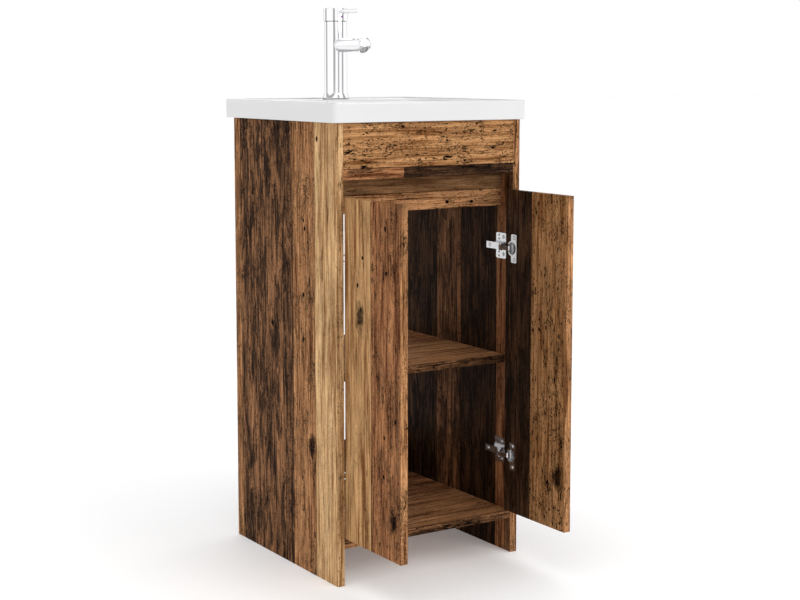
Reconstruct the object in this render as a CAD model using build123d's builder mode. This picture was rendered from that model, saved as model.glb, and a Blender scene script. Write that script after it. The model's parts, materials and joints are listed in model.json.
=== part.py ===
from build123d import *
import os
from math import asin, cos, radians, sin, sqrt

os.makedirs("parts", exist_ok=True)

# All sizes are in millimetres. X is across, Y runs back from the front, Z is up from the floor.

# Cabinet
board = 15.0
cabinet_width = 410.0
cabinet_depth = 402.0
cabinet_height = 854.0
edge_ease = 0.5
bottom_height = 70.0
shelf_rise = 308.5
shelf_set_back = 22.0
shelf_rear_gap = 12.0
shelf_side_clearance = 0.5
apron_height = 103.0
grip_rail_set_back = 38.0
grip_rail_drop = 168.0
grip_rail_height = 84.0
rear_top_rail_height = 100.0
rear_lower_rail_height = 80.0
wall_hole_radius = 3.5
wall_hole_spacing = 260.0
wall_hole_drop = 40.0

# Doors, modelled open at a right angle
door_side_gap = 1.5
door_meeting_gap = 2.0
door_bottom_gap = 4.0
finger_gap = 31.5
door_open_inset = 1.5
door_open_edge = 0.0

# Knock-down fittings
dowel_radius = 4.0
dowel_in_side = 10.0
dowel_in_board = 20.0
bolt_radius = 3.5
bolt_thread_radius = 2.5
bolt_in_side = 9.0
cam_reach = 24.0
cam_radius = 7.5
cam_depth = 12.0
cam_slot = 1.6
fit = 0.05
bore_relief = 0.4
pin_radius = 2.5
pin_in_side = 8.0
pin_reach = 9.0
pin_inset = 50.0
dowel_step = 28.0
bottom_joints = 60.0
overrun = 5.0

# Cup hinges
hinge_inset = 112.0
cup_radius = 13.0
cup_wall = 0.8
cup_depth = 12.2
cup_floor = 0.6
cup_edge_distance = 21.4
flange_width = 17.0
flange_length = 55.0
flange_shift = 5.7
flange_thickness = 1.2
flange_ring = 1.6
flange_notch = 8.0
flange_corner = 3.0
cup_screw_spacing = 42.0
screw_radius = 1.75
screw_length = 10.0
screw_head_radius = 3.4
screw_head_height = 1.8
plate_thickness = 2.0
plate_setback = 19.0
plate_width = 32.0
plate_height = 50.0
plate_corner = 3.0
plate_saddle = (30.0, 14.5)
plate_saddle_height = 3.2
plate_screw_setback = 28.0
plate_screw_spacing = 34.0
plate_hole_radius = 2.2
plate_hole_setback = 41.5
plate_hole_rows = (13.0, 20.5)
arm_half_width = 6.5
arm_sheet = 1.5
arm_rise = 12.0
arm_length = 51.0
arm_setback = 18.5
arm_web_setback = 27.0
arm_screw_setback = 60.0
arm_screw_radius = 2.6
arm_screw_head_radius = 3.8
arm_screw_head_height = 1.6
arm_shoulder = 11.0
arm_toe = 5.0
arm_nose = 1.0
hinge_pin_radius = 0.8
fork_radius = 3.0
fork_pin = (21.7, 10.9)
cup_pin = (15.4, 10.1)
link_bend = (19.6, -13.2)
link_knee = (22.3, 3.9)
link_tip = (23.8, 8.7)
link_radii = (2.5, 8.0)
link_sheet = 2.0
link_half_width = 4.4
link_eye = 2.1

# Basin
basin_width = 430.0
basin_depth = 430.0
basin_front_overhang = 8.0
rim_height = 37.0
rim_corner = 9.0
rim_top_round = 3.5
rim_bottom_round = 2.0
tray_border = 11.0
tray_depth = 1.6
bowl_side_border = 29.0
bowl_front_border = 28.0
bowl_rear_border = 118.0
bowl_depth = 104.0
bowl_corner = 58.0
bowl_taper = 14.0
bowl_floor_round = 26.0
bowl_lip_round = 5.0
basin_wall = 10.0
deck_thickness = 17.0
deck_pocket_width = 150.0
deck_pocket_length = 72.0
deck_pocket_shift = 6.0
deck_pocket_corner = 8.0

# Waste
waste_hole_radius = 23.0
waste_flange_radius = 31.5
waste_flange_height = 2.5
waste_flange_round = 1.8
waste_radius = 21.5
waste_bore = 18.5
waste_length = 62.0
waste_seal_height = 1.5
waste_seal_radius = 30.5
waste_lower_seal_height = 3.0
waste_lower_seal_radius = 31.0
waste_nut_radius = 33.0
waste_nut_height = 11.0
tail_radius = 16.0
tail_wall = 1.6
tail_length = 78.0
tail_engagement = 14.0
tail_collar = 3.0
plug_radius = 27.0
plug_dome = 4.5
plug_edge = 2.0
plug_lift = 7.0
plug_stem_radius = 4.0
plug_travel = 6.0
guide_height = 12.0
guide_drop = 8.0
guide_web = 3.0
guide_wall = 2.0
guide_in_body = 1.0

# Tap
tap_rear_gap = 73.0
tap_hole_radius = 17.0
tap_radius = 23.0
tap_gasket_height = 1.0
tap_gasket_radius = 26.5
tap_gasket_bore = 16.0
tap_base_radius = 27.5
tap_base_height = 11.0
tap_base_lip = 1.5
tap_base_waist = (2.6, 6.8)
tap_base_land = 0.5
tap_body_height = 154.6
tap_bore = 18.0
tap_body_chamfer = 0.5
cartridge_seat_rise = 85.6
inlet_radius = 4.2
inlet_depth = 22.0
inlet_spacing = 18.0
inlet_shift = 2.0
stud_radius = 4.0
stud_offset = 8.0
stud_length = 58.0
stud_engagement = 18.0
washer_height = 4.0
washer_radius = 24.0
washer_slot = (36.0, 28.0)
washer_slot_shift = 14.0
nut_radius = 8.0
nut_height = 9.0
spout_rise = 107.1
spout_radius = 14.25
spout_wall = 2.4
spout_reach = 117.0
spout_round = 3.5
spout_bore_length = 94.0
mouth_setback = 6.7
mouth_drop = 9.5
water_way_radius = 7.5
water_way_length = 19.0
aerator_angle = 45.0
aerator_radius = 9.5
aerator_depth = 9.0
aerator_wall = 1.5
aerator_recess = 1.0
aerator_proud = 0.6
mesh_thickness = 1.2
tap_cap_radius = 24.6
tap_cap_height = 26.0
tap_cap_gap = 1.2
tap_cap_round = 1.5
tap_pivot_drop = 15.0
dome_gap = 0.9
dome_wall = 2.5
dome_opening_angle = 32.5
stem_radius = 4.0
stem_in_cap = 7.0
stem_below_pivot = 3.5
pivot_pin_radius = 1.5
lug_offset = 6.5
lug_thickness = 3.0
lug_width = 8.0
lug_above_pivot = 4.0
carrier_radius = 12.5
carrier_height = 5.0
cartridge_radius = 17.5
cartridge_height = 46.0
cartridge_nut_height = 6.0
cartridge_nut_bore = 11.5
lever_radius = 4.6
lever_reach = 93.0
lever_in_cap = 10.0
lever_drop = 7.5
lever_round = 1.2
mark_radius = 2.6
mark_depth = 1.2
mark_proud = 0.4
mark_drop = 17.5

# Dependent sizes
half_in = cabinet_width / 2 - board
door_width = half_in - door_side_gap - door_meeting_gap / 2
front = -(basin_depth - basin_front_overhang - (door_width - door_open_edge)) / 2
rear = front + cabinet_depth
bottom_top = bottom_height + board
grip_rail_bottom = cabinet_height - grip_rail_drop
door_bottom = bottom_top + door_bottom_gap
apron_bottom = cabinet_height - apron_height
door_top = apron_bottom - finger_gap
door_height = door_top - door_bottom
shelf_bottom = bottom_top + shelf_rise - board
rim_top = cabinet_height + rim_height
basin_front = front - basin_front_overhang
basin_middle = basin_front + basin_depth / 2
tray_floor = rim_top - tray_depth
bowl_width = basin_width - 2 * bowl_side_border
bowl_length = basin_depth - bowl_front_border - bowl_rear_border
bowl_middle = basin_front + bowl_front_border + bowl_length / 2
bowl_floor = tray_floor - bowl_depth
bowl_under = bowl_floor - basin_wall
tap_y = basin_front + basin_depth - tap_rear_gap
body_bottom = tray_floor + tap_gasket_height
tap_body_top = body_bottom + tap_body_height
cartridge_seat = body_bottom + cartridge_seat_rise
spout_height = body_bottom + spout_rise
hinge_heights = {"lower": door_bottom + hinge_inset, "upper": door_top - hinge_inset}
sides = {"left": -1, "right": 1}


def keep(piece, name):
    piece.part.label = name
    export_step(piece.part, f"parts/{name}.step")


def eased_board(width, depth, height, middle, base):
    # A board with its twelve edges slightly broken, as edge-banded board has.
    with BuildPart() as piece:
        with BuildSketch(Plane.XY.offset(base)):
            with Locations(middle):
                Rectangle(width, depth)
        extrude(amount=height)
        chamfer(piece.edges(), edge_ease)
    return piece


def cross_plane(side, x, y, z):
    # A plane square to X whose normal points from that side towards the cabinet's middle.
    return Plane(origin=(x, y, z), x_dir=(0, 1, 0), z_dir=(-side, 0, 0))


# Where the boards meet the side panels: dowels and cam bolts, each as a (Y, Z) place.
bottom_mid = bottom_height + board / 2
rail_mid_y = front + grip_rail_set_back + board / 2
apron_mid_y = front + board / 2
rear_mid_y = rear - board / 2
apron_mid_z = cabinet_height - apron_height / 2
rear_top_mid_z = cabinet_height - rear_top_rail_height / 2
rear_lower_mid_z = bottom_top + rear_lower_rail_height / 2
grip_mid_z = grip_rail_bottom + grip_rail_height / 2

dowel_places = [
    (front + bottom_joints - dowel_step, bottom_mid),
    (rear - bottom_joints + dowel_step, bottom_mid),
    (apron_mid_y, apron_mid_z + dowel_step),
    (rail_mid_y, grip_mid_z + dowel_step),
    (rear_mid_y, rear_top_mid_z + dowel_step),
    (rear_mid_y, rear_lower_mid_z + dowel_step),
]
bolt_places = [
    (front + bottom_joints, bottom_mid),
    (rear - bottom_joints, bottom_mid),
    (apron_mid_y, apron_mid_z - dowel_step),
    (rail_mid_y, grip_mid_z - dowel_step),
    (rear_mid_y, rear_top_mid_z - dowel_step),
    (rear_mid_y, rear_lower_mid_z - dowel_step),
]
pin_places = [
    (front + shelf_set_back + pin_inset, shelf_bottom - pin_radius - fit),
    (rear - shelf_rear_gap - pin_inset, shelf_bottom - pin_radius - fit),
]
# Each cam sits in the face of its board that isn't seen: the underside or the back.
cam_planes = []
for place_y, place_z in bolt_places:
    for side in sides.values():
        cam_x = side * (half_in - cam_reach)
        if place_z == bottom_mid:
            face = Plane(origin=(cam_x, place_y, bottom_height), x_dir=(1, 0, 0), z_dir=(0, 0, -1))
        else:
            face = Plane(origin=(cam_x, place_y + board / 2, place_z), x_dir=(-1, 0, 0), z_dir=(0, 1, 0))
        cam_planes.append(face)


def rods(places, radius, x_from, x_to):
    # Round rods along X at each place, on both sides of the cabinet.
    tools = []
    for side in sides.values():
        for place_y, place_z in places:
            start = cross_plane(side, side * (half_in + x_from), place_y, place_z)
            with BuildPart() as rod:
                with BuildSketch(start):
                    Circle(radius)
                extrude(amount=x_to + x_from)
            tools.append(rod.part)
    return tools


def cams(radius, depth):
    tools = []
    for face in cam_planes:
        with BuildPart() as disc:
            with BuildSketch(face):
                Circle(radius)
            extrude(amount=-depth)
        tools.append(disc.part)
    return tools


dowel_bores = rods(dowel_places, dowel_radius + fit, dowel_in_side + bore_relief, dowel_in_board + bore_relief)
side_bolt_bores = rods(bolt_places, bolt_thread_radius + fit, bolt_in_side + bore_relief, 0.0)
board_bolt_bores = rods(bolt_places, bolt_radius + fit, 0.0, cam_reach)
pin_bores = rods(pin_places, pin_radius + fit, pin_in_side + bore_relief, 0.0)
cam_bores = cams(cam_radius + fit, cam_depth + bore_relief)


def hinge_screw_bores(side):
    tools = []
    for height in hinge_heights.values():
        for row in (-1, 1):
            mouth = cross_plane(side, side * half_in, front + plate_screw_setback,
                                height + row * plate_screw_spacing / 2)
            with BuildPart() as bore:
                with BuildSketch(mouth):
                    Circle(screw_radius + fit)
                extrude(amount=-(screw_length + bore_relief))
            tools.append(bore.part)
    return tools


# Side panels, down to the floor
for side_name, side in sides.items():
    middle_x = side * (half_in + board / 2)
    with BuildPart() as side_panel:
        add(eased_board(board, cabinet_depth, cabinet_height, (middle_x, front + cabinet_depth / 2), 0.0).part)
        for tool in dowel_bores + side_bolt_bores + pin_bores + hinge_screw_bores(side):
            add(tool, mode=Mode.SUBTRACT)
    keep(side_panel, f"{side_name}_side_panel")

# Boards between the side panels
inner_width = 2 * half_in
with BuildPart() as bottom_panel:
    add(eased_board(inner_width, cabinet_depth, board, (0, front + cabinet_depth / 2), bottom_height).part)
    for tool in dowel_bores + board_bolt_bores + cam_bores:
        add(tool, mode=Mode.SUBTRACT)
keep(bottom_panel, "bottom_panel")

shelf_depth = cabinet_depth - shelf_set_back - shelf_rear_gap
shelf_middle = front + shelf_set_back + shelf_depth / 2
shelf_width = inner_width - 2 * shelf_side_clearance
shelf = eased_board(shelf_width, shelf_depth, board, (0, shelf_middle), shelf_bottom)
keep(shelf, "shelf")

with BuildPart() as front_apron:
    add(eased_board(inner_width, board, apron_height, (0, apron_mid_y), apron_bottom).part)
    for tool in dowel_bores + board_bolt_bores + cam_bores:
        add(tool, mode=Mode.SUBTRACT)
keep(front_apron, "front_apron")

with BuildPart() as grip_rail:
    add(eased_board(inner_width, board, grip_rail_height, (0, rail_mid_y), grip_rail_bottom).part)
    for tool in dowel_bores + board_bolt_bores + cam_bores:
        add(tool, mode=Mode.SUBTRACT)
keep(grip_rail, "grip_rail")

wall_hole_height = cabinet_height - wall_hole_drop
with BuildPart() as rear_top_rail:
    rail_base = cabinet_height - rear_top_rail_height
    add(eased_board(inner_width, board, rear_top_rail_height, (0, rear_mid_y), rail_base).part)
    for tool in dowel_bores + board_bolt_bores + cam_bores:
        add(tool, mode=Mode.SUBTRACT)
    with BuildSketch(Plane.XZ.offset(-rear)):
        with Locations((-wall_hole_spacing / 2, wall_hole_height), (wall_hole_spacing / 2, wall_hole_height)):
            Circle(wall_hole_radius)
    extrude(amount=board, mode=Mode.SUBTRACT)
keep(rear_top_rail, "rear_top_rail")

with BuildPart() as rear_lower_rail:
    add(eased_board(inner_width, board, rear_lower_rail_height, (0, rear_mid_y), bottom_top).part)
    for tool in dowel_bores + board_bolt_bores + cam_bores:
        add(tool, mode=Mode.SUBTRACT)
keep(rear_lower_rail, "rear_lower_rail")

# Knock-down fittings
with BuildPart() as panel_dowels:
    for rod in rods(dowel_places, dowel_radius, dowel_in_side, dowel_in_board):
        add(rod)
keep(panel_dowels, "panel_dowels")

with BuildPart() as cam_bolts:
    for rod in rods(bolt_places, bolt_thread_radius, bolt_in_side, 0.0):
        add(rod)
    for rod in rods(bolt_places, bolt_radius, 0.0, cam_reach - bore_relief):
        add(rod)
keep(cam_bolts, "cam_bolts")

with BuildPart() as cam_discs:
    for disc in cams(cam_radius, cam_depth):
        add(disc)
    for bore in board_bolt_bores:
        add(bore, mode=Mode.SUBTRACT)
    for face in cam_planes:
        with BuildSketch(face):
            Rectangle(cam_radius, cam_slot)
            Rectangle(cam_slot, cam_radius)
        extrude(amount=-cam_slot, mode=Mode.SUBTRACT)
keep(cam_discs, "cam_discs")

with BuildPart() as shelf_pins:
    for rod in rods(pin_places, pin_radius, pin_in_side, pin_reach):
        add(rod)
keep(shelf_pins, "shelf_pins")

# Cup hinges and doors. Local x is measured from the side panel's inner face towards the cabinet's
# middle, and local y from the front plane backwards.
door_inner_x = door_open_inset + board
cup_y = door_open_edge - cup_edge_distance
flange_y = cup_y - flange_shift
cup_floor_x = door_inner_x - cup_depth
open_cup_pin = (door_open_inset + cup_pin[1], door_open_edge + door_side_gap - cup_pin[0])


def place(side, local_x, local_y):
    return (side * (half_in - local_x), front + local_y)


def outline(side, points, base, height):
    # A flat plate of the given local outline, standing on the level named base.
    with BuildPart() as plate:
        with BuildSketch(Plane.XY.offset(base)):
            with BuildLine():
                Polyline(*[place(side, *point) for point in points], close=True)
            make_face()
        extrude(amount=height)
    return plate.part


def upright(side, local, radius, base, height):
    with BuildPart() as rod:
        with BuildSketch(Plane.XY.offset(base)):
            with Locations(place(side, *local)):
                Circle(radius)
        extrude(amount=height)
    return rod.part


def screw_body(mouth, radius, length, head_radius, head_height):
    # A countersunk-look pan screw: shank into the wood, rounded head with a cross recess.
    with BuildPart() as screw:
        with BuildSketch(mouth):
            Circle(radius)
        extrude(amount=-length)
        with BuildSketch(mouth):
            Circle(head_radius)
        extrude(amount=head_height)
        fillet(screw.edges().filter_by(GeomType.CIRCLE).group_by(SortBy.RADIUS)[-1]
               .sort_by(Axis(mouth.origin, mouth.z_dir))[-1], head_height / 2)
        with BuildSketch(mouth.offset(head_height)):
            Rectangle(head_radius, head_radius / 4)
            Rectangle(head_radius / 4, head_radius)
        extrude(amount=-head_height / 2, mode=Mode.SUBTRACT)
    return screw.part


hinge_pins = []
plate_screws = []
arm_screws = []
for side_name, side in sides.items():
    cup_screws = []
    cup_bores = []
    for level_name, level in hinge_heights.items():
        hinge = f"{side_name}_{level_name}_hinge"

        # Mounting plate: two wings with holes and a raised saddle between them
        plate_y = front + plate_setback + plate_width / 2
        panel_face = cross_plane(side, side * half_in, plate_y, level)
        hole_y = plate_hole_setback - plate_setback - plate_width / 2
        screw_y = plate_screw_setback - plate_setback - plate_width / 2
        with BuildPart() as plate:
            with BuildSketch(panel_face):
                RectangleRounded(plate_width, plate_height, plate_corner)
                for row in (-1, 1):
                    with Locations(*[(hole_y, row * hole) for hole in plate_hole_rows]):
                        Circle(plate_hole_radius, mode=Mode.SUBTRACT)
                    with Locations((screw_y, row * plate_screw_spacing / 2)):
                        Circle(screw_radius + fit, mode=Mode.SUBTRACT)
            extrude(amount=plate_thickness)
            with BuildSketch(panel_face.offset(plate_thickness)):
                Rectangle(*plate_saddle)
            extrude(amount=plate_saddle_height)
        keep(plate, f"{hinge}_plate")
        for row in (-1, 1):
            head = cross_plane(side, side * (half_in - plate_thickness), front + plate_screw_setback,
                               level + row * plate_screw_spacing / 2)
            plate_screws.append(screw_body(head, screw_radius, plate_thickness + screw_length,
                                           screw_head_radius, screw_head_height))

        # Arm: a folded channel over the saddle whose two cheeks reach forward to the fork pin
        arm_base = plate_thickness + plate_saddle_height
        arm_rear = arm_setback + arm_length
        fork_x, fork_y = fork_pin
        reach = fork_radius / sqrt(2)
        profile = [(arm_base, arm_rear), (arm_rise, arm_rear), (arm_rise, arm_setback + arm_shoulder),
                   (fork_x + reach, fork_y + reach), (fork_x - reach, fork_y - reach),
                   (arm_rise - arm_nose, arm_setback), (arm_base, arm_setback + arm_toe)]
        with BuildPart() as arm:
            add(outline(side, profile, level - arm_half_width, 2 * arm_half_width))
            add(upright(side, fork_pin, fork_radius, level - arm_half_width, 2 * arm_half_width))
            inner = arm_half_width - arm_sheet
            hollow = [(0, arm_rear + overrun), (arm_rise - arm_sheet, arm_rear + overrun),
                      (arm_rise - arm_sheet, arm_web_setback), (2 * fork_x, arm_web_setback),
                      (2 * fork_x, 0), (0, 0)]
            add(outline(side, hollow, level - inner, 2 * inner), mode=Mode.SUBTRACT)
            add(upright(side, fork_pin, hinge_pin_radius + fit, level - board, 2 * board), mode=Mode.SUBTRACT)
            web = cross_plane(side, side * (half_in - arm_rise), front + arm_screw_setback, level)
            with BuildSketch(web):
                Circle(arm_screw_radius + fit)
            extrude(amount=-arm_sheet, mode=Mode.SUBTRACT)
        keep(arm, f"{hinge}_arm")
        hinge_pins.append(upright(side, fork_pin, hinge_pin_radius, level - arm_half_width, 2 * arm_half_width))
        arm_screws.append(screw_body(web, arm_screw_radius, arm_rise,
                                     arm_screw_head_radius, arm_screw_head_height))

        # Link: a bent strip from the eye in the cup, round the door's edge, to the fork
        with BuildPart() as link:
            with BuildSketch(Plane.XY.offset(level - link_half_width)):
                with BuildLine() as path:
                    FilletPolyline(place(side, *open_cup_pin), place(side, *link_bend),
                                   place(side, *link_knee), place(side, *link_tip), radius=link_radii)
                trace(path.line, line_width=link_sheet)
                with Locations(place(side, *open_cup_pin)):
                    Circle(link_eye)
            extrude(amount=2 * link_half_width)
            eye_bore = upright(side, open_cup_pin, hinge_pin_radius + fit, level - board, 2 * board)
            add(eye_bore, mode=Mode.SUBTRACT)
        keep(link, f"{hinge}_link")

        # Cup with its flange, which sits on the door's inner face
        door_face = cross_plane(side, place(side, door_inner_x, 0)[0], front + cup_y, level)
        with BuildPart() as cup:
            with BuildSketch(door_face):
                Circle(cup_radius)
            extrude(amount=-cup_depth)
            with BuildSketch(door_face):
                Circle(cup_radius + flange_ring)
                with Locations((-flange_shift, 0)):
                    RectangleRounded(flange_width, flange_length, flange_corner)
            extrude(amount=flange_thickness)
            with BuildSketch(door_face.offset(flange_thickness)):
                Circle(cup_radius - cup_wall)
            extrude(amount=-(flange_thickness + cup_depth - cup_floor), mode=Mode.SUBTRACT)
            with BuildSketch(door_face):
                with Locations((cup_radius, 0)):
                    Rectangle(2 * cup_radius, 2 * flange_notch)
            extrude(amount=flange_thickness, mode=Mode.SUBTRACT)
            with BuildSketch(door_face):
                for row in (-1, 1):
                    with Locations((-flange_shift, row * cup_screw_spacing / 2)):
                        Circle(screw_radius + fit)
            extrude(amount=flange_thickness, mode=Mode.SUBTRACT)
            pin_side = abs(cup_pin[0] - door_side_gap - cup_edge_distance) + hinge_pin_radius
            pin_half = sqrt(cup_radius ** 2 - pin_side ** 2) - 2 * fit
            pin_bore = upright(side, open_cup_pin, hinge_pin_radius + fit, level - pin_half, 2 * pin_half)
            add(pin_bore, mode=Mode.SUBTRACT)
            add(upright(side, open_cup_pin, hinge_pin_radius, level - pin_half, 2 * pin_half))
        keep(cup, f"{hinge}_cup")

        with BuildPart() as cup_bore:
            with BuildSketch(door_face):
                Circle(cup_radius + fit)
            extrude(amount=-cup_depth)
        cup_bores.append(cup_bore.part)
        for row in (-1, 1):
            mouth = cross_plane(side, place(side, door_inner_x, 0)[0], front + flange_y,
                                level + row * cup_screw_spacing / 2)
            with BuildPart() as screw_bore:
                with BuildSketch(mouth):
                    Circle(screw_radius + fit)
                extrude(amount=-(screw_length + bore_relief))
            cup_bores.append(screw_bore.part)
            cup_screws.append(screw_body(mouth.offset(flange_thickness), screw_radius,
                                         flange_thickness + screw_length, screw_head_radius, screw_head_height))

    with BuildPart() as door:
        door_x, door_y = place(side, door_open_inset + board / 2, door_open_edge - door_width / 2)
        add(eased_board(board, door_width, door_height, (door_x, door_y), door_bottom).part)
        for bore in cup_bores:
            add(bore, mode=Mode.SUBTRACT)
    keep(door, f"{side_name}_door")

    with BuildPart() as screws:
        for screw in cup_screws:
            add(screw)
    keep(screws, f"{side_name}_cup_screws")

for group_name, group in {"hinge_fork_pins": hinge_pins, "hinge_plate_screws": plate_screws,
                          "hinge_arm_screws": arm_screws}.items():
    with BuildPart() as pieces:
        for piece in group:
            add(piece)
    keep(pieces, group_name)

# Basin: a slab rim, a shallow tray in its top, and a tapered bowl
with BuildPart() as basin:
    with BuildSketch(Plane.XY.offset(cabinet_height)):
        with Locations((0, basin_middle)):
            RectangleRounded(basin_width, basin_depth, rim_corner)
    extrude(amount=rim_height)
    fillet(basin.faces().sort_by(Axis.Z)[-1].edges(), rim_top_round)
    fillet(basin.faces().sort_by(Axis.Z)[0].edges(), rim_bottom_round)
    with BuildSketch(Plane.XY.offset(tray_floor)):
        with Locations((0, bowl_middle)):
            RectangleRounded(bowl_width + 2 * basin_wall, bowl_length + 2 * basin_wall, bowl_corner + basin_wall)
    extrude(amount=-(bowl_depth + basin_wall), taper=bowl_taper)
    with BuildSketch(Plane.XY.offset(tray_floor)):
        with Locations((0, basin_middle)):
            RectangleRounded(basin_width - 2 * tray_border, basin_depth - 2 * tray_border, rim_corner)
    extrude(amount=tray_depth, mode=Mode.SUBTRACT)
    with BuildPart(mode=Mode.PRIVATE) as bowl:
        with BuildSketch(Plane.XY.offset(tray_floor)):
            with Locations((0, bowl_middle)):
                RectangleRounded(bowl_width, bowl_length, bowl_corner)
        extrude(amount=-bowl_depth, taper=bowl_taper)
        fillet(bowl.faces().sort_by(Axis.Z)[0].edges(), bowl_floor_round)
    add(bowl.part, mode=Mode.SUBTRACT)
    tray = basin.faces().filter_by(Axis.Z).filter_by(lambda face: abs(face.center().Z - tray_floor) < fit)[0]
    fillet(tray.inner_wires()[0].edges(), bowl_lip_round)
    with BuildSketch(Plane.XY.offset(bowl_floor)):
        with Locations((0, bowl_middle)):
            Circle(waste_hole_radius)
    extrude(amount=-basin_wall, mode=Mode.SUBTRACT)
    with BuildSketch(Plane.XY.offset(rim_top)):
        with Locations((0, tap_y)):
            Circle(tap_hole_radius)
    extrude(amount=-rim_height, mode=Mode.SUBTRACT)
    with BuildSketch(Plane.XY.offset(cabinet_height)):
        with Locations((0, tap_y + deck_pocket_shift)):
            RectangleRounded(deck_pocket_width, deck_pocket_length, deck_pocket_corner)
    extrude(amount=tray_floor - deck_thickness - cabinet_height, mode=Mode.SUBTRACT)
keep(basin, "basin")


def ring(centre, outer, inner, base, height):
    with BuildPart() as part:
        with BuildSketch(Plane.XY.offset(base)):
            with Locations(centre):
                Circle(outer)
                if inner:
                    Circle(inner, mode=Mode.SUBTRACT)
        extrude(amount=height)
    return part


# Waste fitting in the bowl's floor
waste_centre = (0, bowl_middle)
flange_base = bowl_floor + waste_seal_height
waste_bottom = flange_base - waste_length
keep(ring(waste_centre, waste_seal_radius, waste_hole_radius, bowl_floor, waste_seal_height),
     "waste_upper_seal")
with BuildPart() as waste_body:
    add(ring(waste_centre, waste_flange_radius, waste_bore, flange_base, waste_flange_height).part)
    fillet(waste_body.edges().group_by(Axis.Z)[-1].sort_by(SortBy.RADIUS)[-1], waste_flange_round)
    add(ring(waste_centre, waste_radius, waste_bore, waste_bottom, waste_length).part)
    guide_base = flange_base - guide_height - guide_drop
    with BuildSketch(Plane.XY.offset(guide_base)):
        with Locations(waste_centre):
            Rectangle(2 * (waste_bore + guide_in_body), guide_web)
            Rectangle(guide_web, 2 * (waste_bore + guide_in_body))
            Circle(plug_stem_radius + guide_wall)
            Circle(plug_stem_radius + fit, mode=Mode.SUBTRACT)
    extrude(amount=guide_height)
keep(waste_body, "waste_body")

plug_base = flange_base + waste_flange_height + plug_lift
stem_bottom = guide_base - plug_travel
rim_z = plug_base + plug_edge
dome_top = rim_z + plug_dome
plug_sphere = (plug_radius ** 2 + plug_dome ** 2) / (2 * plug_dome)
half_arc = asin(plug_radius / plug_sphere) / 2
half_way = (plug_sphere * sin(half_arc), dome_top - plug_sphere * (1 - cos(half_arc)))
with BuildPart() as waste_plug:
    with BuildSketch(Plane(origin=(0, bowl_middle, 0), x_dir=(0, 1, 0), z_dir=(1, 0, 0))):
        with BuildLine():
            Polyline((0, dome_top), (0, stem_bottom), (plug_stem_radius, stem_bottom),
                     (plug_stem_radius, plug_base), (plug_radius, plug_base), (plug_radius, rim_z))
            ThreePointArc((plug_radius, rim_z), half_way, (0, dome_top))
        make_face()
    revolve(axis=Axis((0, bowl_middle, 0), (0, 0, 1)))
keep(waste_plug, "waste_plug")

lower_seal_base = bowl_under - waste_lower_seal_height
keep(ring(waste_centre, waste_lower_seal_radius, waste_radius + fit, lower_seal_base,
          waste_lower_seal_height), "waste_lower_seal")
with BuildPart() as waste_nut:
    nut_base = lower_seal_base - waste_nut_height
    with BuildSketch(Plane.XY.offset(nut_base)):
        with Locations(waste_centre):
            RegularPolygon(waste_nut_radius, 6)
            Circle(waste_radius + fit, mode=Mode.SUBTRACT)
    extrude(amount=waste_nut_height)
keep(waste_nut, "waste_nut")

tail_top = waste_bottom + tail_engagement
with BuildPart() as waste_tailpiece:
    add(ring(waste_centre, waste_bore - fit, tail_radius - tail_wall, waste_bottom, tail_engagement).part)
    add(ring(waste_centre, waste_radius, tail_radius - tail_wall, waste_bottom - tail_collar, tail_collar).part)
    add(ring(waste_centre, tail_radius, tail_radius - tail_wall, waste_bottom - tail_length, tail_length).part)
keep(waste_tailpiece, "waste_tailpiece")

# Tap
tap_centre = (0, tap_y)
keep(ring(tap_centre, tap_gasket_radius, tap_gasket_bore, tray_floor, tap_gasket_height), "tap_gasket")

with BuildPart() as tap_base_ring:
    with BuildSketch(Plane.YZ):
        with BuildLine():
            inner_y = tap_y + tap_radius + fit
            outer_y = tap_y + tap_base_radius
            lip_top = body_bottom + tap_base_lip
            ring_top = body_bottom + tap_base_height
            Polyline((inner_y + tap_base_land, ring_top), (inner_y, ring_top), (inner_y, body_bottom),
                     (outer_y, body_bottom), (outer_y, lip_top))
            ThreePointArc((outer_y, lip_top), (outer_y - tap_base_waist[0], body_bottom + tap_base_waist[1]),
                          (inner_y + tap_base_land, ring_top))
        make_face()
    revolve(axis=Axis((0, tap_y, 0), (0, 0, 1)))
keep(tap_base_ring, "tap_base_ring")

with BuildPart() as tap_body:
    with BuildSketch(Plane.XY.offset(body_bottom)):
        with Locations(tap_centre):
            Circle(tap_radius)
    extrude(amount=tap_body_top - body_bottom)
    with BuildSketch(Plane.XY.offset(tap_body_top)):
        with Locations(tap_centre):
            Circle(tap_bore)
    extrude(amount=-(tap_body_top - cartridge_seat), mode=Mode.SUBTRACT)
    chamfer(tap_body.edges().filter_by(GeomType.CIRCLE).sort_by(Axis.Z)[-2:], tap_body_chamfer)
    with BuildSketch(Plane.XY.offset(body_bottom)):
        with Locations(*[(side * inlet_spacing / 2, tap_y + inlet_shift) for side in sides.values()]):
            Circle(inlet_radius)
    extrude(amount=inlet_depth, mode=Mode.SUBTRACT)
    with BuildSketch(Plane.XY.offset(body_bottom)):
        with Locations((0, tap_y - stud_offset)):
            Circle(stud_radius + fit)
    extrude(amount=stud_engagement + bore_relief, mode=Mode.SUBTRACT)
    with BuildSketch(Plane.XZ.offset(-tap_y)):
        with Locations((0, spout_height)):
            Circle(spout_radius - spout_wall)
    extrude(amount=2 * tap_radius, mode=Mode.SUBTRACT)
keep(tap_body, "tap_body")

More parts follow.
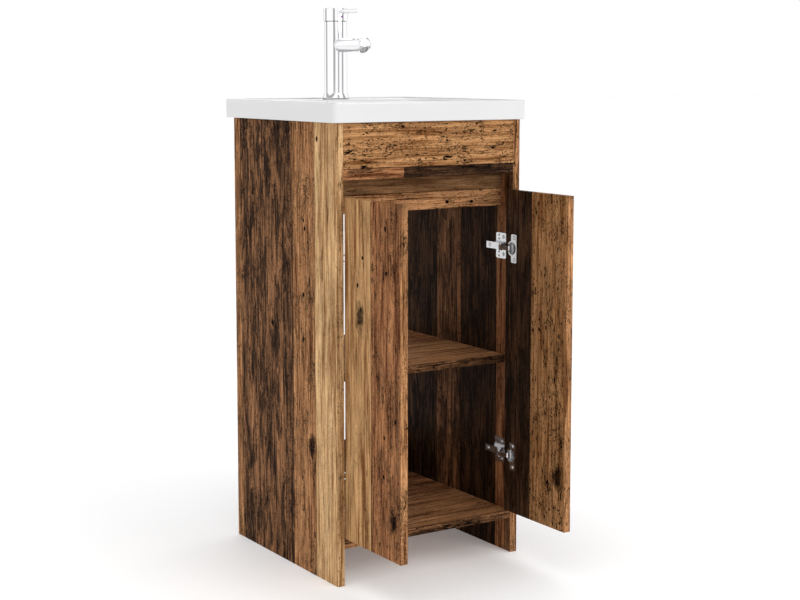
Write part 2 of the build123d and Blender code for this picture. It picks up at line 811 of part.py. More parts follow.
# Spout: a tube saddled on the body, cut at its end by a slanted plane that faces down and forward
slant = radians(aerator_angle)
mouth = Plane(origin=(0, tap_y - spout_reach + mouth_setback, spout_height - mouth_drop),
              x_dir=(1, 0, 0), z_dir=(0, -cos(slant), -sin(slant)))
with BuildPart() as tap_spout:
    with BuildSketch(Plane.XZ.offset(-tap_y)):
        with Locations((0, spout_height)):
            Circle(spout_radius)
    extrude(amount=spout_reach)
    fillet(tap_spout.edges().filter_by(GeomType.CIRCLE).sort_by(Axis.Y)[0], spout_round)
    split(bisect_by=mouth, keep=Keep.BOTTOM)
    with BuildSketch(Plane.XZ.offset(-tap_y)):
        with Locations((0, spout_height)):
            Circle(spout_radius - spout_wall)
    extrude(amount=spout_bore_length, mode=Mode.SUBTRACT)
    with BuildSketch(mouth):
        Circle(aerator_radius + fit)
    extrude(amount=-aerator_depth, mode=Mode.SUBTRACT)
    with BuildSketch(mouth):
        Circle(water_way_radius)
    extrude(amount=-water_way_length, mode=Mode.SUBTRACT)
    with BuildSketch(Plane.XY.offset(spout_height - 2 * spout_radius)):
        with Locations(tap_centre):
            Circle(tap_radius + fit)
    extrude(amount=4 * spout_radius, mode=Mode.SUBTRACT)
keep(tap_spout, "tap_spout")

with BuildPart() as aerator_housing:
    with BuildSketch(mouth.offset(aerator_proud)):
        Circle(aerator_radius)
        Circle(aerator_radius - aerator_wall, mode=Mode.SUBTRACT)
    extrude(amount=-(aerator_depth + aerator_proud - bore_relief))
keep(aerator_housing, "aerator_housing")

with BuildPart() as aerator_mesh:
    with BuildSketch(mouth.offset(-aerator_recess)):
        Circle(aerator_radius - aerator_wall - fit)
    extrude(amount=-mesh_thickness)
keep(aerator_mesh, "aerator_mesh")

# Cartridge, its nut, the dome over it, and the parts that the handle turns
pivot_z = tap_body_top - tap_pivot_drop
dome_radius = sqrt(tap_radius ** 2 + tap_pivot_drop ** 2)
cavity_radius = dome_radius + dome_gap
cartridge_top = cartridge_seat + cartridge_height
with BuildPart() as cartridge:
    add(ring(tap_centre, cartridge_radius, 0, cartridge_seat, cartridge_height).part)
    with BuildSketch(Plane.XY.offset(cartridge_top)):
        with Locations(tap_centre):
            Circle(carrier_radius + fit)
    extrude(amount=-carrier_height, mode=Mode.SUBTRACT)
keep(cartridge, "cartridge")

with BuildPart() as cartridge_nut:
    with BuildSketch(Plane.XY.offset(cartridge_top)):
        with Locations(tap_centre):
            Circle(tap_bore - fit)
            Circle(cartridge_nut_bore, mode=Mode.SUBTRACT)
    extrude(amount=cartridge_nut_height)
keep(cartridge_nut, "cartridge_nut")

with BuildPart() as cartridge_carrier:
    with BuildSketch(Plane.XY.offset(cartridge_top - carrier_height)):
        with Locations(tap_centre):
            Circle(carrier_radius)
    extrude(amount=carrier_height - fit)
    with BuildSketch(Plane.XY.offset(cartridge_top - fit)):
        with Locations((-lug_offset, tap_y), (lug_offset, tap_y)):
            Rectangle(lug_thickness, lug_width)
    extrude(amount=pivot_z + lug_above_pivot - cartridge_top)
    with BuildSketch(Plane.YZ):
        with Locations((tap_y, pivot_z)):
            Circle(pivot_pin_radius + fit)
    extrude(amount=tap_bore, both=True, mode=Mode.SUBTRACT)
keep(cartridge_carrier, "cartridge_carrier")

cap_base = tap_body_top + tap_cap_gap
cap_top = cap_base + tap_cap_height
with BuildPart() as handle_stem:
    with BuildSketch(Plane.XY.offset(pivot_z - stem_below_pivot)):
        with Locations(tap_centre):
            Circle(stem_radius)
    extrude(amount=cavity_radius + stem_below_pivot + stem_in_cap)
    with BuildSketch(Plane.YZ):
        with Locations((tap_y, pivot_z)):
            Circle(pivot_pin_radius)
    extrude(amount=lug_offset + lug_thickness / 2, both=True)
keep(handle_stem, "handle_stem")

with BuildPart() as tap_dome:
    with Locations((0, tap_y, pivot_z)):
        Sphere(dome_radius)
        Sphere(dome_radius - dome_wall, mode=Mode.SUBTRACT)
    split(bisect_by=Plane.XY.offset(tap_body_top + fit), keep=Keep.TOP)
    opening = dome_radius * sin(radians(dome_opening_angle))
    with BuildSketch(Plane.XY.offset(pivot_z)):
        with Locations(tap_centre):
            Circle(opening)
    extrude(amount=2 * dome_radius, mode=Mode.SUBTRACT)
keep(tap_dome, "tap_dome")

with BuildPart() as tap_cap:
    with BuildSketch(Plane.XY.offset(cap_base)):
        with Locations(tap_centre):
            Circle(tap_cap_radius)
    extrude(amount=tap_cap_height)
    fillet(tap_cap.edges().filter_by(GeomType.CIRCLE).sort_by(Axis.Z)[-1], tap_cap_round)
    with Locations((0, tap_y, pivot_z)):
        Sphere(cavity_radius, mode=Mode.SUBTRACT)
    with BuildSketch(Plane.XY.offset(pivot_z)):
        with Locations(tap_centre):
            Circle(stem_radius + fit)
    extrude(amount=cavity_radius + stem_in_cap + bore_relief, mode=Mode.SUBTRACT)
    lever_z = cap_top - lever_drop
    with BuildSketch(Plane.XZ.offset(-(tap_y - tap_cap_radius + lever_in_cap))):
        with Locations((0, lever_z)):
            Circle(lever_radius + fit)
    extrude(amount=lever_in_cap + overrun, mode=Mode.SUBTRACT)
    mark_z = cap_top - mark_drop
    with BuildSketch(Plane.XZ.offset(-(tap_y - tap_cap_radius + mark_depth))):
        with Locations((0, mark_z)):
            Circle(mark_radius + fit)
    extrude(amount=mark_depth + overrun, mode=Mode.SUBTRACT)
keep(tap_cap, "tap_cap")

with BuildPart() as tap_lever:
    with BuildSketch(Plane.XZ.offset(-(tap_y - tap_cap_radius + lever_in_cap - bore_relief))):
        with Locations((0, lever_z)):
            Circle(lever_radius)
    extrude(amount=lever_in_cap - bore_relief + lever_reach - tap_cap_radius)
    fillet(tap_lever.edges().filter_by(GeomType.CIRCLE).sort_by(Axis.Y)[0], lever_round)
keep(tap_lever, "tap_lever")

with BuildPart() as tap_indicator:
    with BuildSketch(Plane.XZ.offset(-(tap_y - tap_cap_radius + mark_depth))):
        with Locations((0, mark_z)):
            Circle(mark_radius)
    extrude(amount=mark_depth + mark_proud)
keep(tap_indicator, "tap_indicator")

# Fixing of the tap under the deck
deck_under = tray_floor - deck_thickness
stud_top = body_bottom + stud_engagement
with BuildPart() as tap_stud:
    with BuildSketch(Plane.XY.offset(stud_top - stud_length)):
        with Locations((0, tap_y - stud_offset)):
            Circle(stud_radius)
    extrude(amount=stud_length)
keep(tap_stud, "tap_stud")

with BuildPart() as tap_washer:
    with BuildSketch(Plane.XY.offset(deck_under - washer_height)):
        with Locations(tap_centre):
            Circle(washer_radius)
        with Locations((0, tap_y + washer_slot_shift)):
            SlotOverall(*washer_slot, mode=Mode.SUBTRACT)
        with Locations((0, tap_y - stud_offset)):
            Circle(stud_radius + fit, mode=Mode.SUBTRACT)
    extrude(amount=washer_height)
keep(tap_washer, "tap_washer")

with BuildPart() as tap_nut:
    with BuildSketch(Plane.XY.offset(deck_under - washer_height - nut_height)):
        with Locations((0, tap_y - stud_offset)):
            RegularPolygon(nut_radius, 6)
            Circle(stud_radius + fit, mode=Mode.SUBTRACT)
    extrude(amount=nut_height)
keep(tap_nut, "tap_nut")
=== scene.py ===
import bpy
import json
import math
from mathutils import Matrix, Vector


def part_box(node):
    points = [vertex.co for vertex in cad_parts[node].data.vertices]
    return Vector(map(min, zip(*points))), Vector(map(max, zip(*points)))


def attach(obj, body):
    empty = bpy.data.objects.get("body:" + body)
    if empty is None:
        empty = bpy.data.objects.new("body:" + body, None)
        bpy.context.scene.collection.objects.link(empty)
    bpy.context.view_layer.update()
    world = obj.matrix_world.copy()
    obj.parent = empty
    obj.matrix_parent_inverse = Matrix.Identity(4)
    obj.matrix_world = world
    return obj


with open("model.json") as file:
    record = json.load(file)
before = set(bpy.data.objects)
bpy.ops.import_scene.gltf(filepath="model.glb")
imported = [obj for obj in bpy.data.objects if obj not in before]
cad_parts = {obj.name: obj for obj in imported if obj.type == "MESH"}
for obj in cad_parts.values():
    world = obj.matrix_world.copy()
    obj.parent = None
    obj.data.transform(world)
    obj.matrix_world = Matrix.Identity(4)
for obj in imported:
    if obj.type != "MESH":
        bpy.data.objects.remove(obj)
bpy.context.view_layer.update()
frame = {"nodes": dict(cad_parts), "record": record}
nodes = frame["nodes"]
print("stage: frame loaded,", len(nodes), "nodes")


def tint(red, green, blue):  # a screen colour from 0 to 255, as the renderer wants it
    channels = []
    for level in (red / 255, green / 255, blue / 255):
        channels.append(((level + 0.055) / 1.055) ** 2.4 if level > 0.04045 else level / 12.92)
    return (*channels, 1.0)


class Wire:  # one output in a graph, with arithmetic
    def __init__(self, graph, socket):
        self.graph = graph
        self.socket = socket

    def maths(self, operation, first, second):
        return self.graph.node("ShaderNodeMath", {"operation": operation}, {0: first, 1: second})

    def __add__(self, other):
        return self.maths("ADD", self, other)

    def __radd__(self, other):
        return self.maths("ADD", other, self)

    def __sub__(self, other):
        return self.maths("SUBTRACT", self, other)

    def __rsub__(self, other):
        return self.maths("SUBTRACT", other, self)

    def __mul__(self, other):
        return self.maths("MULTIPLY", self, other)

    def __rmul__(self, other):
        return self.maths("MULTIPLY", other, self)

    def __gt__(self, other):
        return self.maths("GREATER_THAN", self, other)


class Graph:  # a node tree and the node at its end that takes what is fed
    def __init__(self, tree, end):
        self.tree = tree
        self.end = tree.nodes[end]

    def node(self, kind, settings=None, values=None, out=0):
        made = self.tree.nodes.new(kind)
        for key, value in (settings or {}).items():
            if key == "stops":
                for element, (position, colour) in zip(made.color_ramp.elements, value):
                    element.position = position
                    element.color = colour
            else:
                setattr(made, key, value)
        for key, value in (values or {}).items():
            if isinstance(value, Wire):
                self.tree.links.new(value.socket, made.inputs[key])
            else:
                made.inputs[key].default_value = value
        return Wire(self, made.outputs[out])

    def feed(self, socket, wire):
        self.tree.links.new(wire.socket, self.end.inputs[socket])

    def blend(self, amount, first, second):
        return self.node("ShaderNodeMix", {"data_type": "RGBA"}, {0: amount, 6: first, 7: second}, 2)


class Finish(Graph):  # a material and the graph that feeds its shader
    def __init__(self, name, **constants):
        self.material = bpy.data.materials.new(name)
        self.material.use_nodes = True
        super().__init__(self.material.node_tree, "Principled BSDF")
        for socket, value in constants.items():
            self.end.inputs[socket.replace("_", " ")].default_value = value

    def axes(self):  # the piece's own X, Y and Z in metres
        place = self.node("ShaderNodeTexCoord", out="Object")
        outputs = self.node("ShaderNodeSeparateXYZ", values={0: place}).socket.node.outputs
        return {axis: Wire(self, output) for axis, output in zip("xyz", outputs)}

    def value(self, number):
        wire = self.node("ShaderNodeValue")
        wire.socket.default_value = number
        return wire

    def single(self, operation, wire):  # a Math node with one input, such as a square root
        return self.node("ShaderNodeMath", {"operation": operation}, {0: wire})

    def clamp(self, wire):
        return self.node("ShaderNodeClamp", values={"Value": wire})

    def noise(self, x, y, z, detail, roughness, distortion=0.0):
        place = self.node("ShaderNodeCombineXYZ", values={0: x, 1: y, 2: z})
        return self.node("ShaderNodeTexNoise", values={
            "Vector": place, "Scale": 1.0, "Detail": detail,
            "Roughness": roughness, "Distortion": distortion})

    def evenNoise(self, axes, scale, detail, roughness):  # the same in every direction
        return self.noise(axes["x"] * scale, axes["y"] * scale, axes["z"] * scale, detail, roughness)

    def fade(self, wire, low, high):  # 0 at low, 1 at high, smooth between
        return self.node("ShaderNodeMapRange", {"interpolation_type": "SMOOTHSTEP"}, {
            "Value": wire, "From Min": low, "From Max": high, "To Min": 0.0, "To Max": 1.0})

    def bump(self, height, strength, distance):
        self.feed("Normal", self.node("ShaderNodeBump", values={
            "Height": height, "Strength": strength, "Distance": distance}))


# Old wood: planks side by side, each with its own colours, weather stains and insect flecks.
# Its noises: how fine across the grain, how fine along it, detail, roughness, distortion, offset
grain = {
    "wander": (90, 60, 3, 0.6, 0.0, 0.0),
    "coarse": (120, 5.5, 8, 0.70, 0.3, 0.0),
    "fibre": (560, 11, 5, 0.7, 0.0, 0.0),
    "grit": (900, 300, 3, 0.7, 0.0, 0.0),
    "blot": (36, 8, 9, 0.76, 0.6, 0.0),
    "patch": (24, 15, 4, 0.6, 0.0, 3.0),
    "speck": (330, 170, 3, 0.6, 1.6, 0.0),
    "pore": (210, 52, 4, 0.68, 0.9, 7.0),
    "split": (62, 2.6, 3, 0.5, 0.0, 11.0),
}
planking = dict(edgeWander=0.0016, seam=(0.0003, 0.0012), gapWander=0.012, frontStrip=0.00045)
shifts = dict(plank=5.3, gap=2.7, strip=1.9)  # each plank is cut from another stretch of the noise
knotLook = dict(stretch=0.3, fall=-0.8, push=0.7, ragged=2.6, edge=1.6, rings=9.0, ripple=4.0, ringTone=0.12)
holeLook = dict(squash=0.72, ragged=0.8, core=0.5)
toneMix = dict(middle=0.50, coarse=4.2, fibre=2.8, grit=0.9)
paleWear = dict(fibre=0.5, edge=(0.56, 0.74), amount=0.30)
stainWear = dict(coarse=0.8, edge=(0.49, 0.57), colour=tint(24, 14, 8))
fleckWear = dict(patch=0.45, speckEdge=(0.575, 0.615), blot=0.5, poreEdge=(0.585, 0.64))
crackWear = dict(edge=(0.002, 0.010), patch=(0.50, 0.60), amount=0.6)
markLook = dict(seam=0.75, knot=0.9, colour=tint(9, 5, 3))
sheen = dict(roughness=0.54, specular=0.02, marks=0.22, fibre=0.12)
relief = dict(tone=0.35, strength=0.28, depth=0.0006)


def grainNoise(wood, place, name):
    u, long, w = place
    across, along, detail, roughness, distortion, offset = grain[name]
    return wood.noise(u * across, long * along, w * across + offset, detail, roughness, distortion)


def spreadKnots(wood, u, v, wander, knots):  # the grain spreads round each knot
    cores = wood.value(0.0)
    rings = wood.value(0.0)
    for knotU, knotV, radius in knots:
        du = u - knotU
        dv = v - knotV
        reach = du * du * (1 / radius ** 2) + dv * dv * (knotLook["stretch"] / radius ** 2)
        near = wood.single("EXPONENT", reach * knotLook["fall"])
        u = u - du * near * knotLook["push"]
        cores = cores + (1 - wood.fade(reach + (wander - 0.5) * knotLook["ragged"], 0.0, knotLook["edge"]))
        ring = wood.single("SINE", reach * knotLook["rings"] + wander * knotLook["ripple"])
        rings = rings + ring * near * knotLook["ringTone"]
    return u, cores, rings


def nailHoles(wood, across, along, wander, holes):
    mask = wood.value(0.0)
    for holeU, holeV, radius in holes:
        du = across - holeU
        dv = (along - holeV) * holeLook["squash"]
        away = wood.single("SQRT", du * du + dv * dv)
        ragged = away + (wander - 0.5) * (radius * holeLook["ragged"])
        mask = mask + (1 - wood.fade(ragged, radius * holeLook["core"], radius))
    return mask


def recolour(wood, look, mask, pair, shift):
    look["dark"] = wood.blend(mask, look["dark"], pair[0])
    look["light"] = wood.blend(mask, look["light"], pair[1])
    look["shift"] = look["shift"] + mask * shift


def rewear(look, mask, stains, flecks):
    look["stain"] = look["stain"] + mask * (stains - look["stain"])
    look["fleck"] = look["fleck"] + mask * (flecks - look["fleck"])


# A plank is (where it starts across the grain, its colours, stains, flecks). The first starts off the board.
# A gap is (where along the first plank another carries on, its colours).
# A strip, glued to the board's front edge, is (its colours, stains, flecks).
def oldWood(name, along, across, planks, knots=(), holes=(), seed=0.0, gap=None, strip=None, front=0.0):
    wood = Finish(name, Roughness=sheen["roughness"], Specular_IOR_Level=sheen["specular"])
    axes = wood.axes()
    third = ({"x", "y", "z"} - {along, across}).pop()
    u, v, w = axes[across], axes[along] + seed, axes[third]
    wander = grainNoise(wood, (u, v, w), "wander")
    seededKnots = [(knotU, knotV + seed, radius) for knotU, knotV, radius in knots]
    u, knotCores, knotRings = spreadKnots(wood, u, v, wander, seededKnots)

    edge = u + (wander - 0.5) * planking["edgeWander"]
    pair, stains, flecks = planks[0][1:]
    look = dict(dark=pair[0], light=pair[1], shift=wood.value(0.0))
    look.update(stain=wood.value(stains), fleck=wood.value(flecks))
    seams = wood.value(0.0)
    for start, pair, stains, flecks in planks[1:]:
        beyond = edge > start
        recolour(wood, look, beyond, pair, shifts["plank"])
        rewear(look, beyond, stains, flecks)
        seams = seams + (1 - wood.fade(wood.single("ABSOLUTE", edge - start), *planking["seam"]))
    if gap:
        start, pair = gap
        onFirst = 1 - (edge > planks[1][0])
        beyond = (axes[along] + (wander - 0.5) * planking["gapWander"] > start) * onFirst
        recolour(wood, look, beyond, pair, shifts["gap"])
    if strip:
        pair, stains, flecks = strip
        onStrip = 1 - (axes["y"] > front + planking["frontStrip"])
        recolour(wood, look, onStrip, pair, shifts["strip"])
        rewear(look, onStrip, stains, flecks)

    place = (u, v + look["shift"], w)
    coarse, fibre, grit, blot, patch, speck, pore, split = [
        grainNoise(wood, place, noise) for noise in
        ("coarse", "fibre", "grit", "blot", "patch", "speck", "pore", "split")]
    tone = wood.clamp(toneMix["middle"] + (coarse - 0.5) * toneMix["coarse"]
                      + (fibre - 0.5) * toneMix["fibre"] + (grit - 0.5) * toneMix["grit"] + knotRings)
    pale = wood.fade(patch + (fibre - 0.5) * paleWear["fibre"], *paleWear["edge"]) * paleWear["amount"]
    stained = wood.fade(blot + (coarse - 0.5) * stainWear["coarse"], *stainWear["edge"]) * look["stain"]
    specks = wood.fade(speck + (patch - 0.5) * fleckWear["patch"], *fleckWear["speckEdge"]) * look["fleck"]
    pores = wood.fade(pore + (blot - 0.5) * fleckWear["blot"], *fleckWear["poreEdge"]) * look["fleck"]
    cracks = 1 - wood.fade(wood.single("ABSOLUTE", split - 0.5), *crackWear["edge"])
    cracks = cracks * wood.fade(patch, *crackWear["patch"]) * crackWear["amount"]
    nailed = nailHoles(wood, axes[across], axes[along], wander, holes)
    marks = wood.clamp(specks + pores + cracks + seams * markLook["seam"] + nailed
                       + knotCores * markLook["knot"])

    colour = wood.blend(tone, look["dark"], look["light"])
    colour = wood.blend(pale, colour, look["light"])
    colour = wood.blend(stained, colour, stainWear["colour"])
    wood.feed("Base Color", wood.blend(marks, colour, markLook["colour"]))
    wood.feed("Roughness", sheen["roughness"] + marks * sheen["marks"] + (fibre - 0.5) * sheen["fibre"])
    wood.bump(tone * relief["tone"] - marks, relief["strength"], relief["depth"])
    return wood.material


# Colours of old planks, dark and light
straw = (tint(134, 92, 54), tint(234, 192, 140))
tan = (tint(108, 66, 34), tint(214, 168, 116))
gold = (tint(110, 68, 34), tint(206, 154, 104))
honey = (tint(84, 47, 22), tint(208, 152, 104))
russet = (tint(80, 42, 22), tint(192, 134, 90))
umber = (tint(22, 12, 6), tint(170, 120, 82))
# A near-black plank colour, partly painted shade: on the inner faces of the right side panel and right door
# it darkens the wood as the shade inside the cabinet would
darkPlankAndShade = (tint(12, 6, 3), tint(92, 64, 44))
ash = (tint(88, 58, 34), tint(152, 112, 76))

# Knots and holes are (across, along, radius) in metres, in the object's frame
boards = {
    "left_side_panel": dict(
        along="z", across="y", seed=0.0, strip=(straw, 0.25, 0.6),
        planks=[(-1, straw, 0.25, 0.25), (-0.0372, honey, 0.45, 0.8), (0.0468, umber, 0.9, 0.8),
                (0.2588, honey, 0.5, 0.6)],
        knots=[(-0.0252, 0.2476, 0.013)],
        holes=[(0.0053, 0.530, 0.004), (0.0053, 0.4467, 0.004), (-0.0475, 0.8235, 0.005),
               (0.129, 0.4602, 0.006), (0.0, 0.655, 0.004), (0.004, 0.67, 0.003), (-0.012, 0.63, 0.003)]),
    "right_side_panel": dict(
        along="z", across="y", seed=2.4, strip=(honey, 0.4, 0.8),
        # the soot planks are partly painted shade on this panel's inner face
        planks=[(-1, umber, 0.3, 0.5), (-0.0972, russet, 0.3, 0.5), (-0.0652, darkPlankAndShade, 0.8, 0.6),
                (0.0558, umber, 0.75, 0.6), (0.1437, darkPlankAndShade, 0.9, 0.6)]),
    "left_door": dict(
        along="z", across="y", seed=1.1, strip=(honey, 0.4, 0.7),
        planks=[(-1, russet, 0.45, 0.7), (-0.2077, tan, 0.22, 0.22)],
        knots=[(-0.1698, 0.5098, 0.015), (-0.2804, 0.1602, 0.012)],
        holes=[(-0.2552, 0.6748, 0.004), (-0.1798, 0.6164, 0.004), (-0.2576, 0.5972, 0.004),
               (-0.2513, 0.3062, 0.004), (-0.2497, 0.2356, 0.004), (-0.2883, 0.341, 0.005),
               (-0.163, 0.566, 0.004)]),
    "right_door": dict(
        along="z", across="y", seed=3.7, strip=(honey, 0.4, 0.7),
        # the soot plank is partly painted shade on this door's inner face
        planks=[(-1, gold, 0.35, 1.2), (-0.1984, darkPlankAndShade, 0.8, 0.5)],
        knots=[(-0.284, 0.190, 0.014)],
        holes=[(-0.205, 0.459, 0.004), (-0.225, 0.462, 0.003), (-0.245, 0.469, 0.003)]),
    "front_apron": dict(
        along="x", across="z", seed=0.6, gap=(-0.060, darkPlankAndShade),
        planks=[(-1, russet, 0.7, 0.9), (0.7705, gold, 0.12, 1.6)]),
    "grip_rail": dict(
        along="x", across="z", seed=4.2,
        planks=[(-1, honey, 0.3, 0.8), (0.7196, ash, 0.4, 0.3)],
        holes=[(0.6986, 0.0619, 0.004), (0.6968, 0.1185, 0.004)]),
    "bottom_panel": dict(
        along="x", across="y", seed=5.5, strip=(umber, 0.75, 1.2),
        planks=[(-1, honey, 0.5, 0.7), (-0.112, honey, 0.2, 0.5), (0.08, russet, 0.5, 0.6)]),
    "shelf": dict(
        along="x", across="y", seed=6.1, strip=(umber, 0.75, 1.2),
        planks=[(-1, honey, 0.6, 0.8), (-0.09, honey, 0.15, 0.4), (0.11, russet, 0.4, 0.6)]),
    "rear_top_rail": dict(
        along="x", across="z", seed=7.3,
        planks=[(-1, umber, 0.6, 0.6), (0.80, russet, 0.4, 0.6)]),
    "rear_lower_rail": dict(
        along="x", across="z", seed=8.8,
        planks=[(-1, umber, 0.6, 0.6)]),
}

for node, settings in boards.items():
    low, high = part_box(node)
    nodes[node].data.materials.clear()
    nodes[node].data.materials.append(oldWood("oldWood." + node, front=low.y, **settings))
print("stage: boards finished")


gritLook = dict(detail=3, roughness=0.6, spread=0.6, strength=0.12)


def plainFinish(name, colour, metallic, roughness, fineness, depth):  # one colour with a little grit
    made = Finish(name, Base_Color=colour, Metallic=metallic)
    grit = made.evenNoise(made.axes(), fineness, gritLook["detail"], gritLook["roughness"])
    made.feed("Roughness", roughness + (grit - 0.5) * (roughness * gritLook["spread"]))
    made.bump(grit, gritLook["strength"], depth)
    return made.material


# The glaze: its pools and its orange peel are (how fine, detail, roughness)
glazeLook = dict(pool=(9, 2, 0.5), thin=tint(213, 213, 213), thick=tint(219, 219, 219),
                 roughness=0.09, pooled=0.04, coat=0.6, coatRoughness=0.04,
                 peel=(70, 2, 0.5), peelStrength=0.05, peelDepth=0.0004)


def glazedCeramic():
    glaze = Finish("glazedCeramic", Coat_Weight=glazeLook["coat"], Coat_Roughness=glazeLook["coatRoughness"])
    axes = glaze.axes()
    pool = glaze.evenNoise(axes, *glazeLook["pool"])
    peel = glaze.evenNoise(axes, *glazeLook["peel"])
    glaze.feed("Base Color", glaze.blend(pool, glazeLook["thin"], glazeLook["thick"]))
    glaze.feed("Roughness", glazeLook["roughness"] + pool * glazeLook["pooled"])
    glaze.bump(peel, glazeLook["peelStrength"], glazeLook["peelDepth"])
    return glaze.material


tapMarks = dict(hot=tint(196, 28, 34), cold=tint(30, 70, 170), roughness=0.25, coat=0.5)


def hotAndCold():  # hot on the left of the tap's middle, cold on the right
    mark = Finish("hotAndCold", Roughness=tapMarks["roughness"], Coat_Weight=tapMarks["coat"])
    mark.feed("Base Color", mark.blend(mark.axes()["x"] > 0.0, tapMarks["hot"], tapMarks["cold"]))
    return mark.material


finishes = {
    "glazed": glazedCeramic(),
    "chromed": plainFinish("chromePlate", (0.86, 0.86, 0.87, 1), 1.0, 0.05, 40, 0.00005),
    "nickel": plainFinish("nickelPlate", (0.70, 0.70, 0.71, 1), 1.0, 0.24, 700, 0.0001),
    "zinc": plainFinish("castZinc", (0.52, 0.52, 0.53, 1), 1.0, 0.42, 1200, 0.0002),
    "rubber": plainFinish("sealRubber", tint(32, 32, 33), 0.0, 0.7, 1500, 0.0002),
    "plastic": plainFinish("whitePlastic", tint(228, 228, 224), 0.0, 0.32, 500, 0.0001),
    "darkPlastic": plainFinish("darkMesh", tint(40, 40, 42), 0.0, 0.5, 900, 0.0002),
    "brass": plainFinish("turnedBrass", (0.75, 0.56, 0.28, 1), 1.0, 0.28, 800, 0.0001),
    "beech": oldWood("plainBeech", "x", "y", [(-1, (tint(178, 138, 96), tint(214, 178, 134)), 0.0, 0.05)]),
    "hotAndCold": hotAndCold(),
}
slotFinish = {
    "glaze": "glazed", "chrome_plate": "chromed", "nickel_steel": "nickel", "zinc_alloy": "zinc",
    "soft_rubber": "rubber", "white_plastic": "plastic", "dark_plastic": "darkPlastic", "raw_brass": "brass",
    "raw_steel": "zinc", "beech": "beech", "indicator_plastic": "hotAndCold",
}
for part in frame["record"]["subparts"]:
    if part["material_slot"] in slotFinish:
        mesh = nodes[part["node"]].data
        mesh.materials.clear()
        mesh.materials.append(finishes[slotFinish[part["material_slot"]]])
print("stage: fittings finished")


def deselect():
    if bpy.context.object and bpy.context.object.mode != "OBJECT":
        bpy.ops.object.mode_set(mode="OBJECT")
    bpy.ops.object.select_all(action="DESELECT")


def finished(piece, name, body, material):  # place into the mesh, then onto its body
    bpy.ops.object.transform_apply(location=True, rotation=True, scale=True)
    piece.name = name
    piece.data.materials.clear()
    piece.data.materials.append(material)
    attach(piece, body)
    deselect()


# The spout's slanted mouth, from the mesh disc that lies in it
spoutMouth = dict(lean=math.radians(-45), screenOut=0.0012, rimOut=0.002095)
low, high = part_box("aerator_mesh")


def onMouthAxis(out):  # so far out from the disc's middle
    return (0, (low.y + high.y) / 2 + out * math.sin(spoutMouth["lean"]),
            (low.z + high.z) / 2 - out * math.cos(spoutMouth["lean"]))


# A wire screen over the disc
screen = dict(radius=0.0078, cells=13, wire=0.0004)
deselect()
bpy.ops.mesh.primitive_grid_add(x_subdivisions=screen["cells"], y_subdivisions=screen["cells"],
                                size=2 * screen["radius"])
grid = bpy.context.object
for kind in (grid.data.polygons, grid.data.edges):
    kind.foreach_set("select", [False] * len(kind))
for corner in grid.data.vertices:  # only the corners outside the circle, which are cut away
    corner.select = corner.co.length > screen["radius"]
bpy.ops.object.mode_set(mode="EDIT")
bpy.context.tool_settings.mesh_select_mode = (True, False, False)
bpy.ops.mesh.delete(type="VERT")
bpy.ops.object.mode_set(mode="OBJECT")
wires = grid.modifiers.new("wires", "WIREFRAME")
wires.thickness = screen["wire"]
bpy.ops.object.modifier_apply(modifier=wires.name)
grid.rotation_euler = (spoutMouth["lean"], 0, 0)
grid.location = onMouthAxis(spoutMouth["screenOut"])
screenFaces = len(grid.data.polygons)
finished(grid, "aeratorScreen", "cabinet", finishes["nickel"])

# A rolled chrome rim round the mouth
rim = dict(radius=0.00875, section=0.0007, around=72, acrossSection=12)
bpy.ops.mesh.primitive_torus_add(location=onMouthAxis(spoutMouth["rimOut"]),
                                 rotation=(spoutMouth["lean"], 0, 0),
                                 major_radius=rim["radius"], minor_radius=rim["section"],
                                 major_segments=rim["around"], minor_segments=rim["acrossSection"])
rolled = bpy.context.object
bpy.ops.object.shade_smooth()
finished(rolled, "aeratorRim", "cabinet", finishes["chromed"])
print("stage: small pieces made,", screenFaces, "faces in the screen")

# Studio: a pale floor that glows a little, so that it reads white, soft lights and the camera
studio = dict(floor=80.0, floorTint=tint(252, 252, 252), glow=0.13, surround=1.17, background=1.0)
deselect()
bpy.ops.mesh.primitive_plane_add(size=studio["floor"], location=(0, 0, 0))
floor = bpy.context.object
floor.name = "studioFloor"
floorFinish = Finish("studioFloor", Base_Color=studio["floorTint"], Roughness=0.9, Specular_IOR_Level=0.1,
                     Emission_Color=(1, 1, 1, 1), Emission_Strength=studio["glow"])
floor.data.materials.append(floorFinish.material)

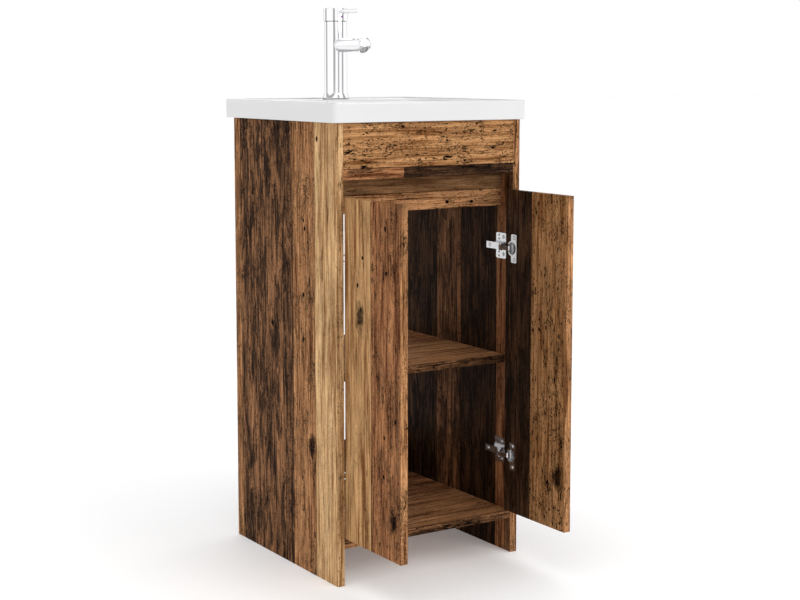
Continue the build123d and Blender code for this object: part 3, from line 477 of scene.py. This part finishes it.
# The camera sees a plain white world. All else is lit by one with darker bands, which show in the chrome.
shade = dict(scale=0.45, distortion=0.6, stops=[(0.12, (0.40, 0.40, 0.41, 1)), (0.45, (1, 1, 1, 1))])
world = bpy.data.worlds.new("studioSurround")
bpy.context.scene.world = world
world.use_nodes = True
sky = Graph(world.node_tree, "Background")
seen = sky.node("ShaderNodeLightPath", out="Is Camera Ray")
bands = sky.node("ShaderNodeTexWave", values={
    "Vector": sky.node("ShaderNodeTexCoord", out="Generated"),
    "Scale": shade["scale"], "Distortion": shade["distortion"]})
banded = sky.node("ShaderNodeValToRGB", {"stops": shade["stops"]}, {0: bands})
sky.feed("Color", sky.blend(seen, banded, (1, 1, 1, 1)))
sky.feed("Strength", sky.node("ShaderNodeMapRange", values={
    "Value": seen, "To Min": studio["surround"], "To Max": studio["background"]}))

lights = {
    "frontSoftbox": dict(location=(0.9, -3.2, 2.2), size=2.4, power=36, aim=(0, 0, 0.5)),
    "leftSoftbox": dict(location=(-3.2, -0.9, 1.9), size=2.4, power=1, aim=(0, 0, 0.5)),
    "topSoftbox": dict(location=(0.0, -0.2, 3.6), size=3.0, power=8, aim=(0, 0, 0)),
}
for name, settings in lights.items():
    lamp = bpy.data.lights.new(name, "AREA")
    lamp.shape = "SQUARE"
    lamp.size = settings["size"]
    lamp.energy = settings["power"]
    holder = bpy.data.objects.new(name, lamp)
    bpy.context.scene.collection.objects.link(holder)
    holder.location = settings["location"]
    away = [a - b for a, b in zip(settings["location"], settings["aim"])]
    flat = math.hypot(away[0], away[1])
    turn = math.atan2(away[0], -away[1]) if away[0] else 0
    holder.rotation_euler = (math.atan2(flat, away[2]), 0, turn)

view = dict(location=(-1.6288, -2.5416, 0.9499), yaw=32.753, pitch=6.354, lens=70.727, shift=-0.07)
cameraData = bpy.data.cameras.new("photoCamera")
cameraData.lens = view["lens"]
cameraData.sensor_width = 36.0
cameraData.shift_y = view["shift"]
camera = bpy.data.objects.new("photoCamera", cameraData)
bpy.context.scene.collection.objects.link(camera)
camera.location = view["location"]
camera.rotation_euler = (math.radians(90 - view["pitch"]), 0, -math.radians(view["yaw"]))
bpy.context.scene.camera = camera
bpy.context.scene.view_settings.view_transform = "Standard"
print("stage: studio ready")
